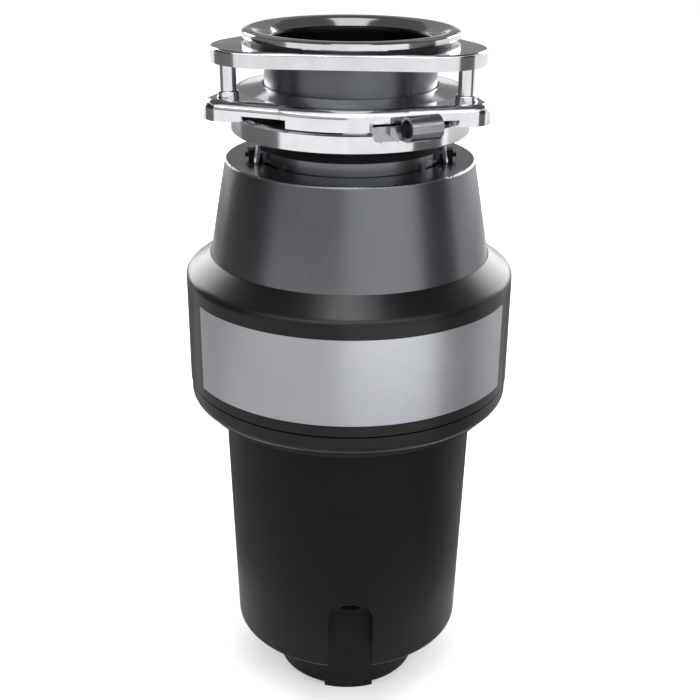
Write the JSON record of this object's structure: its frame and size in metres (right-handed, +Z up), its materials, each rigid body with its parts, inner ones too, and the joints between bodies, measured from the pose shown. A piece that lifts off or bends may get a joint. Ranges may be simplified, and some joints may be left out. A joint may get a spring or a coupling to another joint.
{
  "type": "kitchen garbage disposal",
  "caption": "Under-sink food waste disposer with sink flange, clamp plate, turning lock ring, tapered cover, wide collar and motor housing, with a spinning turntable and swinging lugs inside.",
  "frame": {"origin": "centre of the base's underside", "axes": "+Z up along the motor shaft, -Y towards the front with the silver plate, +Y towards the discharge outlet"},
  "size_m": [0.1752, 0.1756, 0.3744],
  "materials": {
    "polished_steel": "mirror polished stainless steel",
    "gunmetal_coat": "satin gunmetal",
    "satin_black_plastic": "satin black",
    "brushed_plate": "brushed, bare",
    "black_painted_steel": "semi gloss black",
    "black_plastic": "matt black",
    "neck_grey": "dark grey coat",
    "black_rubber": "matt",
    "red_plastic": "glossy red",
    "spring_steel": "bright wire",
    "zinc_steel": "zinc plated",
    "stainless_steel": "plain stainless",
    "core_steel": "stacked sheet steel",
    "copper_winding": "lacquered copper wire",
    "cast_alloy": "die cast",
    "bearing_bronze": "sintered bronze",
    "chamber_plastic": "glass filled, dark grey",
    "liner_foam": "open foam",
    "pale_plastic": "natural"
  },
  "bodies": {
    "casing": {"base_cover": "black_plastic", "base_screws": "zinc_steel", "reset_spring": "spring_steel", "overload_switch": "black_plastic", "terminal_block": "pale_plastic", "motor_housing": "black_painted_steel", "cable_chute": "black_plastic", "cable_gland": "black_rubber", "lower_end_bell": "cast_alloy", "lower_bearing": "bearing_bronze", "stator_core": "core_steel", "stator_windings": "copper_winding", "through_bolts": "zinc_steel", "capacitor": "cast_alloy", "drain_chamber": "chamber_plastic", "upper_bearing": "bearing_bronze", "shaft_seal": "black_rubber", "chamber_gasket": "black_rubber", "chamber_bolts": "zinc_steel", "hopper": "neck_grey", "inlet_plug": "black_plastic", "shredder_ring": "stainless_steel", "collar_lower_ring": "satin_black_plastic", "collar_band": "satin_black_plastic", "name_plate": "brushed_plate", "upper_cover": "gunmetal_coat", "sound_liner": "liner_foam", "cover_clips": "black_plastic", "mount_gasket": "black_rubber", "mounting_ring": "polished_steel", "snap_ring": "spring_steel", "screw_collars": "polished_steel", "sink_flange": "polished_steel", "flange_gasket": "black_rubber", "splash_guard": "black_rubber"},
    "rotor": {"motor_shaft": "stainless_steel", "rotor_core": "core_steel", "rotor_end_rings": "cast_alloy", "water_slinger": "black_rubber", "turntable": "stainless_steel", "hub_nut": "stainless_steel", "lug_pins": "stainless_steel"},
    "lug_a": {"impeller_lug_a": "stainless_steel"},
    "lug_b": {"impeller_lug_b": "stainless_steel"},
    "lock": {"lock_ring": "polished_steel", "lever_bracket": "polished_steel", "lever_tube": "polished_steel"},
    "reset": {"reset_button": "red_plastic"},
    "clamp": {"support_plate": "polished_steel", "clamp_screws": "polished_steel"}
  },
  "joints": [
    {"name": "rotor_spin", "type": "hinge", "parent": "casing", "child": "rotor", "pos_m": [0, 0, 0.1], "axis": [0, 0, 1], "continuous": true},
    {"name": "lug_a_swing", "type": "hinge", "parent": "rotor", "child": "lug_a", "pos_m": [0.033, 0, 0.245], "axis": [0, 0, 1], "continuous": true},
    {"name": "lug_b_swing", "type": "hinge", "parent": "rotor", "child": "lug_b", "pos_m": [-0.033, 0, 0.245], "axis": [0, 0, 1], "continuous": true},
    {"name": "lock_ring_turn", "type": "hinge", "parent": "casing", "child": "lock", "pos_m": [0, 0, 0.3292], "axis": [0, 0, 1], "range_deg": [-45, 0]},
    {"name": "reset_button_press", "type": "slide", "parent": "casing", "child": "reset", "axis": [0, 0, 1], "range_m": [0, 0.003], "stiffness_N_per_m": 300, "springref_m": -0.002, "deforming": ["reset_spring"]},
    {"name": "clamp_plate_slide", "type": "slide", "parent": "casing", "child": "clamp", "axis": [0, 0, 1], "range_m": [-0.012, 0]}
  ]
}
